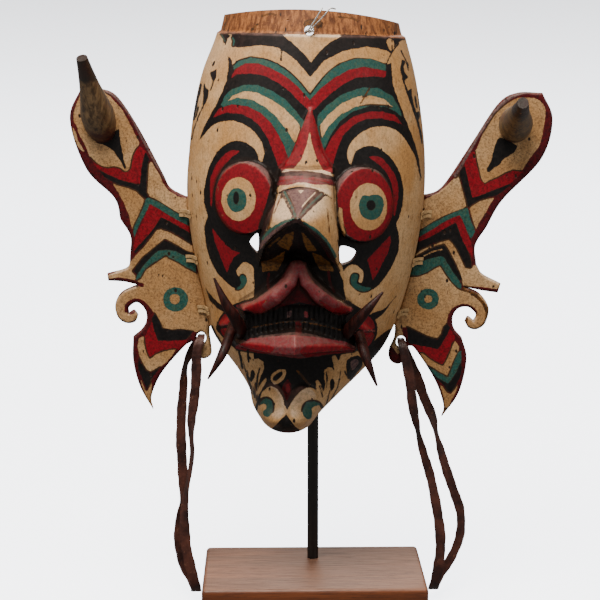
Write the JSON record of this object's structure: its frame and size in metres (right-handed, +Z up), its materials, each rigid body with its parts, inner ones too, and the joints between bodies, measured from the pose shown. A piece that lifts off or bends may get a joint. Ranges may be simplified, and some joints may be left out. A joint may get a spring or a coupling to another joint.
{
  "type": "hudoq mask on stand",
  "caption": "Carved and painted wooden spirit mask with snout, round eyes, tusks, ear boards and straps, held on a rod in a wooden block",
  "frame": {"origin": "centre of the block's underside", "axes": "+Z up, -Y towards the viewer who faces the mask, +X to that viewer's right"},
  "size_m": [0.4572, 0.2091, 0.5839],
  "materials": {
    "painted_wood": "cream, black, red and green paint on wood, worn and pitted",
    "ear_wood": "cream, black, red and green paint on wood, worn",
    "tusk_wood": "dark red-brown painted wood, satin",
    "peg_wood": "brown-grey wood with dark red and green tip, satin",
    "rattan": "dull split rattan",
    "leather": "dark brown hide strip, dull",
    "wire": "plain metal wire",
    "black_steel": "satin black",
    "walnut": "oiled hardwood, satin"
  },
  "bodies": {
    "root": {"mask_face": "painted_wood", "tusk_upper_left": "tusk_wood", "tusk_lower_left": "tusk_wood", "tusk_upper_right": "tusk_wood", "tusk_lower_right": "tusk_wood", "ear_left": "ear_wood", "ear_right": "ear_wood", "ear_peg_left": "peg_wood", "ear_peg_right": "peg_wood", "lashing_left_1_low": "rattan", "lashing_left_1_high": "rattan", "lashing_left_2_low": "rattan", "lashing_left_2_high": "rattan", "lashing_left_3_low": "rattan", "lashing_left_3_high": "rattan", "lashing_right_1_low": "rattan", "lashing_right_1_high": "rattan", "lashing_right_2_low": "rattan", "lashing_right_2_high": "rattan", "lashing_right_3_low": "rattan", "lashing_right_3_high": "rattan", "strap_left": "leather", "strap_right": "leather", "tie_wire": "wire", "stand_rod": "black_steel", "stand_crosspiece": "black_steel", "stand_block": "walnut"}
  },
  "joints": []
}
